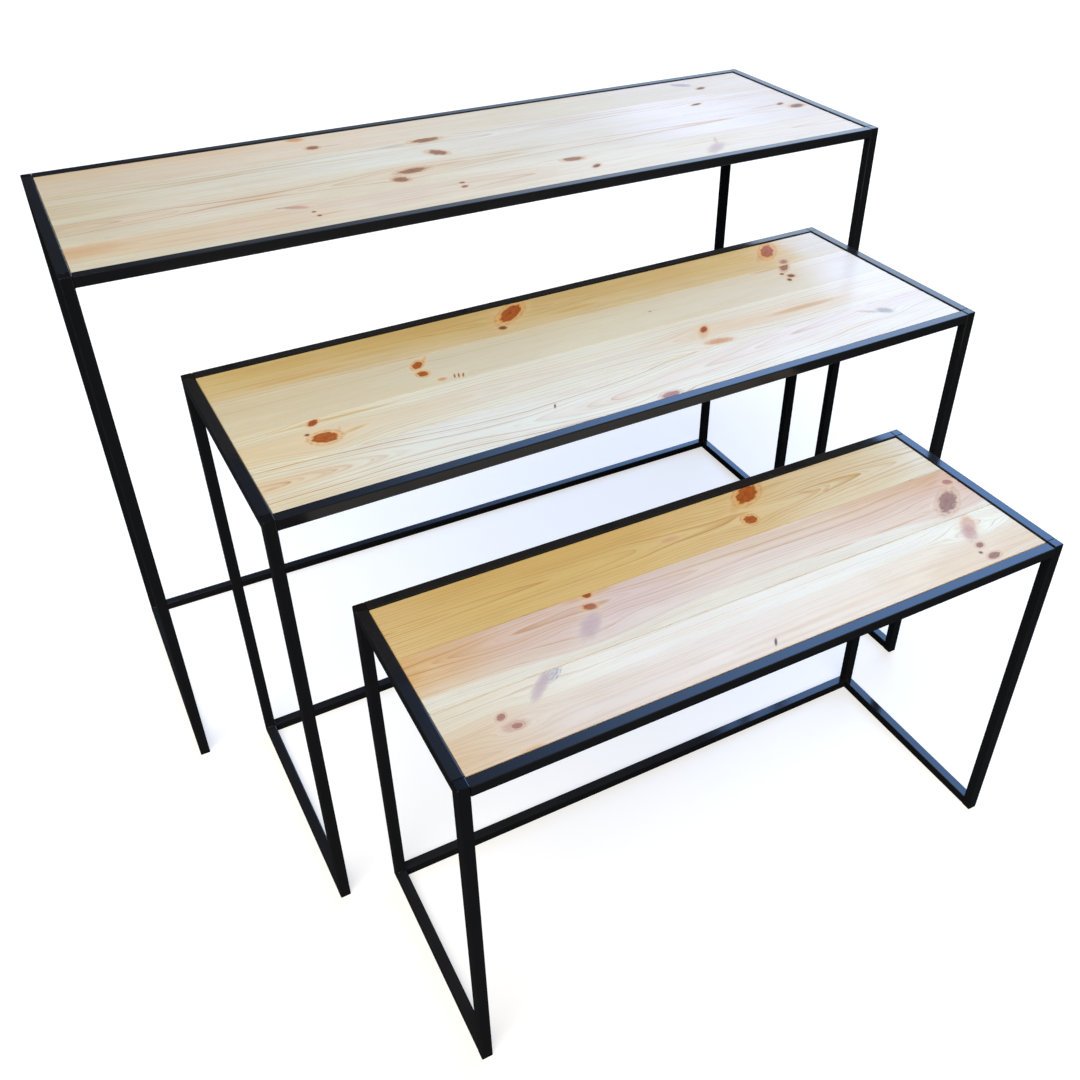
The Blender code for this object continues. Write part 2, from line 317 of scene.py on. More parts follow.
BOARD_ROWS = {
    "large": (
        (((0, 76), (1340, 72)), ((0, 60), (500, 56), (900, 64), (1340, 58)), 2.4, 66,
         ((0, 70, 46, 20), (270, 75, 53, 32), (480, 75, 59, 43), (670, 74, 58, 39),
          (870, 82, 74, 58), (1340, 82, 71, 57)),
         ((0, 72, 63, 42), (500, 77, 67, 47), (870, 83, 76, 60), (1340, 83, 75, 62)), 0.65, 1),
        (((0, 171), (1340, 171)),
         ((0, 30), (180, 36), (230, 37.5), (300, 38), (368, 37.5), (520, 32), (1340, 42)), 2.6, 43,
         ((0, 67, 51, 31), (200, 73, 57, 38), (500, 76, 62, 41), (670, 73, 62, 43),
          (870, 76, 66, 50), (1070, 88, 79, 72), (1340, 77, 67, 55)),
         ((0, 70, 62, 41), (200, 76, 67, 48), (500, 78, 69, 49), (870, 78, 72, 57),
          (1070, 89, 84, 79), (1340, 78, 70, 60)), 0.80, 2),
        (((0, 287), (1340, 290)), ((0, 34), (265, 40), (600, 34), (900, 44), (1340, 38)), 2.6, 22,
         ((0, 68, 55, 31), (270, 75, 65, 46), (470, 78, 70, 51), (870, 75, 66, 52),
          (1070, 88, 80, 70), (1340, 79, 70, 57)),
         ((0, 68, 57, 36), (270, 75, 67, 49), (470, 79, 74, 58), (870, 77, 70, 56),
          (1070, 90, 84, 77), (1340, 79, 71, 60)), 0.85, 3),
        (((0, 480), (1340, 500)), ((0, 50), (600, 56), (1340, 50)), 2.4, 118,
         ((0, 70, 51, 28), (270, 76, 57, 35), (470, 80, 64, 42), (670, 79, 67, 49),
          (870, 76, 66, 46), (1070, 83, 73, 65), (1340, 82, 72, 60)),
         ((0, 69, 56, 37), (470, 79, 66, 47), (870, 75, 67, 49), (1340, 80, 72, 60)), 0.70, 4),
    ),
    "middle": (
        (((0, 70), (180, 70), (280, 60), (381, 47), (620, 48), (1130, 128)),
         ((0, 30), (124, 34.5), (182, 37.4), (280, 40.6), (378, 37.4), (444, 34.4), (508, 32),
          (760, 26), (1130, 20)), 3.2, 35.5,
         ((0, 78, 54, 28), (300, 77, 64, 49), (565, 80, 67, 50), (900, 87, 77, 66),
          (1130, 89, 82, 76)),
         ((0, 79, 69, 44), (300, 80, 77, 62), (600, 84, 79, 60), (900, 89, 84, 69),
          (1130, 90, 86, 74)), 0.95, 5),
        (((0, 149), (1130, 151)),
         ((0, 30), (300, 31), (480, 34.5), (640, 34), (730, 30), (1130, 33)), 2.7, 38,
         ((0, 77, 55, 27), (230, 76, 60, 37), (395, 78, 68, 52), (560, 82, 75, 60),
          (735, 81, 62, 40), (900, 84, 68, 48), (1060, 91, 83, 72)),
         ((0, 80, 70, 44), (395, 80, 75, 57), (735, 82, 76, 58), (900, 86, 80, 63),
          (1060, 92, 88, 80)), 0.45, 6),
        (((0, 420), (1130, 430)), ((0, 60), (560, 66), (1130, 60)), 2.2, 60,
         ((0, 72, 58, 34), (395, 70, 60, 41), (900, 77, 68, 50), (1130, 85, 80, 74)),
         ((0, 75, 62, 37), (395, 72, 64, 44), (565, 76, 68, 47), (960, 79, 71, 54),
          (1060, 87, 83, 77), (1130, 88, 84, 79)), 0.45, 7),
        (((0, 425), (560, 408), (1130, 412)), ((0, 46), (500, 52), (1130, 46)), 2.3, 127,
         ((0, 76, 58, 25), (230, 71, 54, 23), (395, 69, 52, 22), (565, 71, 56, 27),
          (900, 76, 60, 30), (1000, 78, 62, 34), (1060, 83, 84, 82), (1130, 86, 87, 86)),
         ((0, 76, 66, 44), (1130, 76, 66, 44)), 1.05, 8),
    ),
    "small": (
        (((0, 34), (904, 40)), ((0, 40), (200, 43), (500, 41), (904, 43)), 2.1, 61,
         ((0, 74, 53, 30), (200, 79, 66, 52), (316, 84, 71, 56), (590, 87, 72, 52),
          (720, 82, 64, 40), (904, 79, 61, 38)),
         ((0, 82, 72, 50), (316, 90, 84, 68), (590, 91, 86, 68), (904, 89, 84, 62)), 0.70, 9),
        (((0, 193), (904, 190)),
         ((0, 33.4), (72, 31.8), (146, 29.8), (270, 28.2), (500, 34), (904, 31)), 2.3, 60,
         ((0, 76, 47, 18), (180, 75, 55.5, 42), (320, 76, 60, 51), (450, 80, 65, 50),
          (590, 81, 66, 50), (720, 79, 60, 42), (904, 71, 45, 28)),
         ((0, 83, 77, 58), (904, 86, 80, 60)), 0.85, 10),
        (((0, 266), (904, 268)),
         ((0, 20.5), (252, 22.9), (372, 26.4), (433, 29.2), (626, 31.8), (713, 34.2), (904, 40)),
         2.4, 16,
         ((0, 81, 60, 27), (540, 79, 60, 30), (700, 80, 67, 41), (904, 80, 73, 56)),
         ((0, 81, 60, 27), (160, 74, 53, 20), (320, 74, 53, 20), (540, 79, 60, 29),
          (700, 80, 67, 43), (904, 81, 75, 57)), 1.25, 11),
    ),
}

BOARDS = {name: [Board(*row) for row in rows] for name, rows in BOARD_ROWS.items()}

# How far round a knot the grain bends: shares of the knot's length and width, and a least reach
GRAIN_REACH_SHARES = (1.6, 1.2)
GRAIN_REACH_LEAST = (8.0, 3.0)
PATH_SCALE = 500.0            # mm for a ramp level of 1

# How a knot is painted. A reach is a share of the way from the knot's centre to its outline.
STREAK_TURN = 9.0             # radians of streak across half the knot
STREAK_WANDER = 11.0
STREAK_WOBBLE = 0.05
RING_TURN = 17.0              # radians of ring from the centre to the outline
HEART_REACH = (0.42, 0.06)
RIM_REACH = (0.62, 1.0)
RING_REACH = 1.48             # the thin dark ring outside the knot, and its soft half width
RING_HALF = (0.17, 0.03)
RING_BREAKS = (-0.18, 0.20)
GLOW_REACH = (1.75, 0.95)
VEIL_REACH = (2.9, 1.2)
DARK_ALL, DARK_RINGS, DARK_HEART, DARK_STREAK = 0.14, 0.14, 0.40, 0.20
RIM_SHARE, GLOW_SHARE, VEIL_SHARE, RING_SHARE = 0.55, 0.78, 0.32, 0.8
VEIL_COLOUR = (0.86, 0.74, 0.50)
VEIL_COLOUR_SHARE = 0.45
OUTLINE_ROUGH = 0.25          # raggedness of an outline: least, more per mm of width, most
OUTLINE_ROUGH_WIDTH = 18.0
OUTLINE_ROUGHEST = 1.1

# Noise in the wood: features per mm along x, y and z
SEED_STEP = (731.0, 173.0, 57.0)  # mm in the noise from one board to the next
SLOW_SWAY_NOISE = (0.0035, 0.022, 0.022)
QUICK_SWAY_NOISE = (0.016, 0.10, 0.10)
FADE_NOISE = (0.006, 0.035, 0.035)
STREAK_NOISE = (0.004, 0.075, 0.075)
CLOUD_NOISE = (0.010, 0.030, 0.030)
FIBRE_NOISE = (0.022, 0.75, 0.75)
FLECK_NOISE = (0.10, 0.9, 0.9)
RAGGED_NOISE = (0.10, 0.17, 0.17)
SLOW_SWAY = 13.0              # mm
QUICK_SWAY = 3.2              # mm

# Growth rings: the darkness of one ring from its start to its end, and how rings differ
RING_LINE = ((0.0, 0.0), (0.45, 0.05), (0.80, 0.50), (0.93, 1.0), (1.0, 0.0))
FINE_LINE = ((0.0, 0.0), (0.5, 0.1), (0.9, 1.0), (1.0, 0.0))
FINE_LINE_SHIFT = 0.45        # fine lines come twice as often, moved by this share of a line
UNEVEN_SCALE = 0.55           # noise features per ring
UNEVEN_SEED_STEP = 9.0        # rings in the noise from one board to the next
UNEVEN_RINGS = 2.2
RING_FAINTEST = 0.38
RING_VARIES = 0.95
LINE_FADES = (0.25, 0.60, 0.60, 1.15)  # fade noise from, to; line strength from, to
FINE_FADES = (0.42, 0.62, 0.05, 0.50)

HEART_EDGE_SWAY = 6.0         # mm
HEART_EDGE_HALF = 1.6         # mm, half the width of the change from heart to sap
HEART_PALES_FROM = 0.60       # share of the heart radius where it starts to pale
HEART_PALES_TO = 0.5
WARM_TINT = (1.0, 0.90, 0.76)
WARM_LEVELS, WARM_SHARE = (0.42, 0.72), 0.42
CLOUD_TINT = (1.12, 1.12, 1.12)
CLOUD_LEVELS, CLOUD_SHARE = (0.5, 0.8), 0.25
LATEWOOD_TINT = (0.76, 0.56, 0.36)
FIBRE_LEVELS, FIBRE_SHARE = (0.48, 0.78), 0.26
FLECK_COLOUR = (0.32, 0.17, 0.08)
FLECK_LEVELS, FLECK_SHARE = (0.74, 0.79), 0.30

WOOD_ROUGHNESS = 0.46
LATEWOOD_SMOOTHER = -0.06
WOOD_SPECULAR = 0.05
LINE_RELIEF, FIBRE_RELIEF = -0.5, 0.6
RELIEF_STRENGTH = 0.35
RELIEF_DEPTH = 0.12 * MM
LACQUER_WEIGHT = 0.28         # a thin, worn coat
LACQUER_ROUGHNESS = 0.14
LACQUER_IOR = 1.45


def group_tree(name, inputs, outputs):
    """An empty node group with those sockets; returns it, its nodes, inputs and output sockets."""
    tree = bpy.data.node_groups.new(name, "ShaderNodeTree")
    for label, kind in inputs:
        tree.interface.new_socket(label, in_out="INPUT", socket_type=f"NodeSocket{kind}")
    for label, kind in outputs:
        tree.interface.new_socket(label, in_out="OUTPUT", socket_type=f"NodeSocket{kind}")
    start = tree.nodes.new("NodeGroupInput")
    end = tree.nodes.new("NodeGroupOutput")
    return tree, Nodes(tree), start.outputs, end.inputs


def bend_group():
    """Moves the grain's y away from one knot's centre, so that the lines flow round it."""
    sockets = [("Place", "Vector"), ("Y", "Float"), ("Centre", "Vector"), ("Reach", "Vector")]
    tree, nodes, given, result = group_tree("grain_round_knot", sockets, [("Y", "Float")])
    away = nodes.vector("SUBTRACT", given["Place"], given["Centre"])
    share = nodes.vector("MULTIPLY", away, given["Reach"])
    fall = nodes.vector("DOT_PRODUCT", share, share)
    near = nodes.math("EXPONENT", nodes.times(fall, -1.0))
    _, y, _ = nodes.split(away)
    nodes.plug(nodes.math("SUBTRACT", given["Y"], nodes.times(y, near)), result["Y"])
    return tree


def knot_group():
    """Paints one knot over a colour: streaked and ringed core, dark rim, outer ring and halo."""
    sockets = [("Colour", "Color"), ("Place", "Vector"), ("Ragged", "Float"), ("Rough", "Float"),
               ("Centre", "Vector"), ("Size", "Vector"), ("Turn", "Float"),
               ("Core", "Color"), ("Rim", "Color"), ("Halo", "Color"),
               ("Strength", "Float"), ("Soft", "Float"), ("Ring", "Float")]
    tree, nodes, given, result = group_tree("knot", sockets, [("Colour", "Color")])
    away = nodes.vector("SUBTRACT", given["Place"], given["Centre"])
    turned = nodes.add("ShaderNodeVectorRotate", {"Vector": away, "Angle": given["Turn"]},
                       rotation_type="Z_AXIS")
    share = nodes.vector("MULTIPLY", turned, given["Size"])
    wobble = nodes.times(given["Ragged"], given["Rough"])
    _, across, _ = nodes.split(share)
    wander = nodes.times(wobble, STREAK_WANDER)
    swirl = nodes.math("MULTIPLY_ADD", across, STREAK_TURN, wander)
    streak = nodes.math("SINE", swirl)
    reach = nodes.math("ADD", nodes.vector("LENGTH", share), wobble)
    reach = nodes.math("MULTIPLY_ADD", streak, STREAK_WOBBLE, reach)
    outer = nodes.math("ADD", 1.0, given["Soft"])
    inner_edge = nodes.math("SUBTRACT", 1.0, given["Soft"])
    core = nodes.steps(reach, outer, inner_edge)

    rings = nodes.math("SINE", nodes.times(reach, RING_TURN))
    heart = nodes.steps(reach, *HEART_REACH)
    rim = nodes.steps(reach, *RIM_REACH)
    dark = nodes.times(heart, DARK_HEART)
    dark = nodes.math("MULTIPLY_ADD", rings, DARK_RINGS, dark)
    dark = nodes.math("ADD", dark, DARK_ALL)
    dark = nodes.math("MULTIPLY_ADD", streak, DARK_STREAK, dark)
    inner = nodes.mix(dark, given["Core"], given["Rim"])
    inner = nodes.mix(nodes.times(rim, RIM_SHARE), inner, given["Rim"])

    off_ring = nodes.math("ABSOLUTE", nodes.math("SUBTRACT", reach, RING_REACH))
    ring = nodes.times(nodes.steps(off_ring, *RING_HALF), given["Ring"])
    ring = nodes.times(ring, nodes.steps(given["Ragged"], *RING_BREAKS))
    glow = nodes.times(nodes.steps(reach, *GLOW_REACH), GLOW_SHARE)
    veil = nodes.times(nodes.steps(reach, *VEIL_REACH), VEIL_SHARE)
    pale = nodes.mix(VEIL_COLOUR_SHARE, given["Halo"], VEIL_COLOUR)
    colour = nodes.mix(nodes.times(veil, given["Strength"]), given["Colour"], pale)
    colour = nodes.mix(nodes.times(glow, given["Strength"]), colour, given["Halo"])
    colour = nodes.mix(nodes.times(ring, RING_SHARE), colour, given["Rim"])
    paint = nodes.times(core, given["Strength"])
    nodes.plug(nodes.mix(paint, colour, inner), result["Colour"])
    return tree


BEND = bend_group()
KNOT = knot_group()


def shades(stops, length):
    """Ramp stops from a board's rows of x and colour."""
    return [(at / length, (red / 100, green / 100, blue / 100)) for at, red, green, blue in stops]


def path_ramp(nodes, along, stops, length):
    """A smooth value in mm along the board, from stops of (x, value)."""
    places = [(at / length, value / PATH_SCALE) for at, value in stops]
    return nodes.times(nodes.ramp(along, places, "B_SPLINE"), PATH_SCALE)


def pine(name, table, board, knots):
    """Lacquered pine for one board, with its own rings, colours and knots."""
    material, nodes, shader = new_material(name)
    metres = nodes.add("ShaderNodeTexCoord", out=3)
    place = nodes.vector("MULTIPLY", metres, (1 / MM, 1 / MM, 1 / MM))
    x, y, z = nodes.split(place)
    offset = tuple(board.seed * step for step in SEED_STEP)
    seeded = nodes.vector("ADD", place, offset)

    bent = y
    for knot in knots:
        if not KINDS[knot.kind].bends:
            continue
        reach = (1.0 / (GRAIN_REACH_SHARES[0] * knot.length + GRAIN_REACH_LEAST[0]),
                 1.0 / (GRAIN_REACH_SHARES[1] * knot.width + GRAIN_REACH_LEAST[1]), 0.0)
        inputs = {"Place": place, "Y": bent, "Centre": (knot.x, knot.y, 0.0), "Reach": reach}
        bent = nodes.add("ShaderNodeGroup", inputs, node_tree=BEND)

    slow = nodes.stretched(seeded, SLOW_SWAY_NOISE)
    quick = nodes.stretched(seeded, QUICK_SWAY_NOISE, 3.0)
    sway = nodes.times(nodes.math("SUBTRACT", slow, 0.5), SLOW_SWAY)
    sway = nodes.swing(quick, QUICK_SWAY, sway)
    grain_y = nodes.math("ADD", bent, sway)

    # rings: the distance to the pith, with uneven spacing, a slow start and a sharp dark end
    length = table.length / MM
    along = nodes.math("DIVIDE", x, length)
    deep = path_ramp(nodes, along, board.depths, length)
    pith = path_ramp(nodes, along, board.piths, length)
    below = nodes.math("ADD", deep, z)
    side = nodes.math("SUBTRACT", grain_y, pith)
    radius = nodes.vector("LENGTH", nodes.join(side, below, 0.0))
    ring = nodes.math("DIVIDE", radius, board.spacing)
    uneven = nodes.noise(nodes.join(ring, 0.0, board.seed * UNEVEN_SEED_STEP), UNEVEN_SCALE)
    ring = nodes.math("MULTIPLY_ADD", uneven, UNEVEN_RINGS, ring)
    line = nodes.ramp(nodes.math("FRACT", ring), RING_LINE, "LINEAR")
    between = nodes.math("FRACT", nodes.math("MULTIPLY_ADD", ring, 2.0, FINE_LINE_SHIFT))
    between = nodes.ramp(between, FINE_LINE, "LINEAR")
    count = nodes.math("FLOOR", ring)
    vary = nodes.add("ShaderNodeTexWhiteNoise", (None, count), noise_dimensions="1D")
    vary = nodes.math("POWER", vary, 2.0)
    vary = nodes.math("MULTIPLY_ADD", vary, RING_VARIES, RING_FAINTEST)
    fade = nodes.stretched(seeded, FADE_NOISE)
    vary = nodes.times(vary, nodes.steps(fade, *LINE_FADES))
    line = nodes.times(line, vary)
    between = nodes.times(between, nodes.steps(fade, *FINE_FADES))
    line = nodes.math("MAXIMUM", line, between)

    # heartwood and sapwood, whose colours along x also hold painted light, then warm streaks and
    # pale clouds
    heart_edge = nodes.swing(slow, HEART_EDGE_SWAY, radius)
    sapwood = nodes.steps(heart_edge, board.heart_radius - HEART_EDGE_HALF,
                          board.heart_radius + HEART_EDGE_HALF)
    # painted light: the heart and sap ramps turn paler and whiter towards the boards' right ends
    heart = nodes.ramp(along, shades(board.heart, length))
    sap = nodes.ramp(along, shades(board.sap, length))
    outward = nodes.steps(radius, HEART_PALES_FROM * board.heart_radius, board.heart_radius,
                          0.0, HEART_PALES_TO)
    colour = nodes.mix(nodes.math("MAXIMUM", sapwood, outward), heart, sap)
    streak = nodes.stretched(seeded, STREAK_NOISE, 4.0, 0.6)
    warm = nodes.times(nodes.steps(streak, *WARM_LEVELS), WARM_SHARE)
    colour = nodes.mix(warm, colour, nodes.tint(colour, WARM_TINT))
    cloud = nodes.stretched(seeded, CLOUD_NOISE, 3.0)
    pale = nodes.times(nodes.steps(cloud, *CLOUD_LEVELS), CLOUD_SHARE)
    colour = nodes.mix(pale, colour, nodes.tint(sap, CLOUD_TINT))

    # latewood lines, fibres and short dark flecks
    tint = nodes.tint(heart, LATEWOOD_TINT)
    colour = nodes.mix(nodes.times(line, board.line), colour, tint)
    fibre = nodes.stretched(seeded, FIBRE_NOISE, 4.0, 0.7)
    share = nodes.times(nodes.steps(fibre, *FIBRE_LEVELS), FIBRE_SHARE)
    colour = nodes.mix(share, colour, tint)
    fleck = nodes.stretched(seeded, FLECK_NOISE, 1.0)
    share = nodes.times(nodes.steps(fleck, *FLECK_LEVELS), FLECK_SHARE)
    colour = nodes.mix(share, colour, FLECK_COLOUR)

    # knots, the marks that the grain doesn't flow round first
    ragged = nodes.stretched(seeded, RAGGED_NOISE, 4.0, 0.6)
    ragged = nodes.math("SUBTRACT", ragged, 0.5)
    for knot in sorted(knots, key=lambda knot: KINDS[knot.kind].bends):
        kind = KINDS[knot.kind]
        inputs = {
            "Colour": colour, "Place": place, "Ragged": ragged,
            "Rough": min(OUTLINE_ROUGHEST, OUTLINE_ROUGH + knot.width / OUTLINE_ROUGH_WIDTH),
            "Centre": (knot.x, knot.y, 0.0), "Size": (2.0 / knot.length, 2.0 / knot.width, 0.0),
            "Turn": -math.radians(knot.turn), "Core": kind.core, "Rim": kind.rim,
            "Halo": kind.halo, "Strength": kind.strength, "Soft": kind.soft, "Ring": kind.ring}
        colour = nodes.add("ShaderNodeGroup", inputs, node_tree=KNOT)

    rough = nodes.math("MULTIPLY_ADD", line, LATEWOOD_SMOOTHER, WOOD_ROUGHNESS)
    relief = nodes.times(fibre, FIBRE_RELIEF)
    relief = nodes.math("MULTIPLY_ADD", line, LINE_RELIEF, relief)
    bump = nodes.bump(RELIEF_STRENGTH, RELIEF_DEPTH, relief)
    nodes.fill(shader, {"Base Color": colour, "Roughness": rough,
                        "Specular IOR Level": WOOD_SPECULAR, "Coat Weight": LACQUER_WEIGHT,
                        "Coat Roughness": LACQUER_ROUGHNESS, "Coat IOR": LACQUER_IOR,
                        "Normal": bump, "Coat Normal": bump})
    return material


# -------- boards

BACK_ARRIS = 0.35 * MM        # on a board's back edge and its ends
ARRIS_STEPS = 4
CROWN = 0.12 * MM             # a board's middle stands this far above its edges
CROWN_SHARES = (0.006, 0.125, 0.25, 0.375, 0.5, 0.625, 0.75, 0.875, 0.994)
END_FLAT = 1 * MM             # a narrow flat next to a rounded end keeps the shading there
SECTION_EVERY = 40 * MM
END_GAP = 1 * MM              # board end to crossbar
SIDE_GAP = 0.6 * MM           # outer board to rail
TOUCH = 0.3 * MM              # the frame's clearance between two boards
BOARD_SHARP = 30.0            # degrees: edges sharper than this stay sharp
WELD_SHARP = 50.0
SCREW_SHARP = 35.0
TONGUE = 3.5 * MM
TONGUE_HALF = 1.5 * MM
GROOVE_PLAY = 0.3 * MM

# A table's seams: the arris on each board's front edge, and the gap between boards
Seam = namedtuple("Seam", "arris gap")
SEAMS = {
    "large": Seam(0.9 * MM, 0.25 * MM),
    "middle": Seam(0.8 * MM, 0.35 * MM),
    "small": Seam(0.5 * MM, 0.80 * MM),
}


def board_section(width, thick, arris, tongue, groove):
    """Outline of one board as (y, z), with z 0 at the face, anticlockwise from the lower front."""
    mid = -thick / 2
    points = [(0.0, -thick), (width, -thick)]
    if tongue:
        points += [(width, mid - TONGUE_HALF), (width + TONGUE, mid - TONGUE_HALF),
                   (width + TONGUE, mid + TONGUE_HALF), (width, mid + TONGUE_HALF)]
    for step in range(ARRIS_STEPS + 1):
        angle = math.radians(90) * step / ARRIS_STEPS
        points.append((width - BACK_ARRIS * (1 - math.cos(angle)),
                       -CROWN - BACK_ARRIS * (1 - math.sin(angle))))
    for share in CROWN_SHARES:
        y = width - BACK_ARRIS - share * (width - BACK_ARRIS - arris)
        points.append((y, -CROWN * (2 * share - 1) ** 2))
    for step in range(ARRIS_STEPS + 1):
        angle = math.radians(90) * (1 - step / ARRIS_STEPS)
        points.append((arris * (1 - math.cos(angle)), -CROWN - arris * (1 - math.sin(angle))))
    if groove:
        half = TONGUE_HALF + GROOVE_PLAY
        deep = TONGUE + 2 * GROOVE_PLAY
        points += [(0.0, mid + half), (deep, mid + half), (deep, mid - half), (0.0, mid - half)]
    return points


def section_places(length):
    """Stations along a board as (x, how far the face is cut down), with rounded ends."""
    ends = []
    for step in range(ARRIS_STEPS + 1):
        angle = math.radians(90) * step / ARRIS_STEPS
        ends.append((BACK_ARRIS * (1 - math.cos(angle)), BACK_ARRIS * (1 - math.sin(angle))))
    count = int(length / SECTION_EVERY)
    middle = [(length * i / count, 0.0) for i in range(1, count)]
    flat = BACK_ARRIS + END_FLAT
    middle = [(flat, 0.0)] + middle + [(length - flat, 0.0)]
    return ends + middle + [(length - x, drop) for x, drop in reversed(ends)]


def sweep(work, loops):
    """Skins loops of points into one closed tube with end faces."""
    rows = [[work.verts.new(point) for point in loop] for loop in loops]
    count = len(rows[0])
    for first, second in zip(rows, rows[1:]):
        for i in range(count):
            j = (i + 1) % count
            work.faces.new((first[i], first[j], second[j], second[i]))
    work.faces.new(list(reversed(rows[0])))
    work.faces.new(rows[-1])


def finished_mesh(name, work, sharp_degrees):
    """A smooth-shaded mesh whose edges stay sharp above that angle."""
    bmesh.ops.recalc_face_normals(work, faces=work.faces)
    mesh = bpy.data.meshes.new(name)
    work.to_mesh(mesh)
    work.free()
    mesh.polygons.foreach_set("use_smooth", [True] * len(mesh.polygons))
    mesh.set_sharp_from_angle(angle=math.radians(sharp_degrees))
    return mesh


def board_mesh(name, start, width, length, thick, arris, tongue, groove):
    outline = board_section(width, thick, arris, tongue, groove)
    work = bmesh.new()
    sweep(work, [[(start[0] + x, start[1] + y, min(z, -drop)) for y, z in outline]
                 for x, drop in section_places(length)])
    return finished_mesh(name, work, BOARD_SHARP)


def add_piece(name, mesh, material, matrix, body):
    piece = bpy.data.objects.new(name, mesh)
    bpy.context.scene.collection.objects.link(piece)
    piece.matrix_world = matrix
    mesh.materials.append(material)
    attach(piece, body)
    return piece


def board_pitch(table):
    """From one board's front edge to the next one's."""
    inner = table.depth - 2 * (table.tube + SIDE_GAP)
    return (inner + TOUCH) / len(BOARDS[table.name])


def add_boards(table):
    """Every board of one table, each in place of its CAD board."""
    boards = BOARDS[table.name]
    seam = SEAMS[table.name]
    pitch = board_pitch(table)
    for index, board in enumerate(boards):
        node = f"{table.name}_board_{index + 1}"
        low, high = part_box(node)
        start = (table.tube + END_GAP, table.tube + SIDE_GAP + index * pitch)
        length = table.length - 2 * (table.tube + END_GAP)
        width = pitch - seam.gap
        mesh = board_mesh(f"{node}_top", start, width, length, high.z - low.z, seam.arris,
                          tongue=index < len(boards) - 1, groove=index > 0)
        own = [knot for knot in KNOTS[table.name]
               if 0 <= knot.y * MM - start[1] < pitch]
        wood = pine(f"{node}_pine", table, board, own)
        matrix = table.place @ Matrix.Translation((0.0, 0.0, high.z))
        piece = add_piece(f"{node}_top", mesh, wood, matrix, BODY[table.name])
        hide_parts(node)


# -------- weld beads

BEAD_RADIUS = 1.7 * MM
BEAD_LENGTH = 12 * MM
BEAD_STEPS = 18
BEAD_ARC_STEPS = 6
BEAD_RIPPLES = 6
BEAD_ROOT = 0.35 * MM         # how far the bead's root reaches into the corner
TACK_RADIUS = 1.3 * MM
TACK_LENGTH = 14 * MM
BEAD_ENDS = 5                 # how quickly a bead grows at its ends
BEAD_LEAST = 0.30             # share of its radius that it starts with
BEAD_RIPPLE = 0.09
BEAD_ARC = (-10, 110)         # degrees: where the round face starts, and how far it goes
RIDGE_HALF = 0.75 * MM        # half the width of the low ridge over a filled seam
RIDGE_HEIGHT = 0.28 * MM
RIDGE_LENGTH = 13.4 * MM
RIDGE_ENDS = 6
RIDGE_LEAST = 0.6             # share of its width at its very ends
RIDGE_WANDER = 0.22 * MM
RIDGE_WAVE = 7                # radians along a ridge, and then more per metre along the table
RIDGE_WAVE_SHIFT = 40
CORNER_PHASE = 1.3            # radians of ripple from one corner, or one tack, to the next
TACK_PHASE = 0.7

# Corners whose crossbar seam is filled: table, front or back, and 1 at the left, -1 at the right
FILLED_SEAMS = {
    ("large", "front", 1), ("large", "front", -1), ("middle", "front", 1),
    ("middle", "front", -1), ("small", "front", -1), ("middle", "back", 1),
}


def bearers(table):
    """The middle of each flat bar, in the table's own axes, and the height of its lower face."""
    to_table = table.place.inverted()
    nodes = [node for node in sorted(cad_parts) if node.startswith(f"{table.name}_bearer_")]
    return [(to_table @ centre(node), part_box(node)[0].z) for node in nodes]


def add_bead(work, corner, along, out, up, radius, length, phase):
    """A rippled fillet along a corner, between the faces that out and up lie in."""
    loops = []
    for step in range(BEAD_STEPS + 1):
        share = step / BEAD_STEPS
        taper = min(1.0, BEAD_ENDS * share, BEAD_ENDS * (1 - share)) ** 0.5
        ripple = 1 + BEAD_RIPPLE * math.sin(2 * math.pi * BEAD_RIPPLES * share + phase)
        reach = radius * (BEAD_LEAST + (1 - BEAD_LEAST) * taper) * ripple
        middle = corner + along * length * (share - 0.5)
        loop = [middle - (out + up) * BEAD_ROOT]
        for arc in range(BEAD_ARC_STEPS + 1):
            angle = math.radians(BEAD_ARC[0] + BEAD_ARC[1] * arc / BEAD_ARC_STEPS)
            loop.append(middle + out * reach * math.cos(angle) + up * reach * math.sin(angle))
        loops.append(loop)
    sweep(work, loops)


def add_ridge(work, middle, along, across):
    """A low rounded ridge of paint and filler over a seam in a top face."""
    up = Vector((0.0, 0.0, 1.0))
    loops = []
    for step in range(BEAD_STEPS + 1):
        share = step / BEAD_STEPS
        taper = min(1.0, RIDGE_ENDS * share, RIDGE_ENDS * (1 - share)) ** 0.5
        point = middle + along * RIDGE_LENGTH * (share - 0.5)
        bend = RIDGE_WANDER * math.sin(RIDGE_WAVE * share + middle.x * RIDGE_WAVE_SHIFT)
        loop = []
        for arc in range(BEAD_ARC_STEPS + 1):
            angle = math.radians(180 * arc / BEAD_ARC_STEPS)
            wide = RIDGE_LEAST + (1 - RIDGE_LEAST) * taper
            side = RIDGE_HALF * math.cos(angle) * wide + bend
            rise = RIDGE_HEIGHT * math.sin(angle) * taper
            loop.append(point + across * side + up * rise)
        loop.append(point - up * BEAD_ROOT)
        loops.append(loop)
    sweep(work, loops)


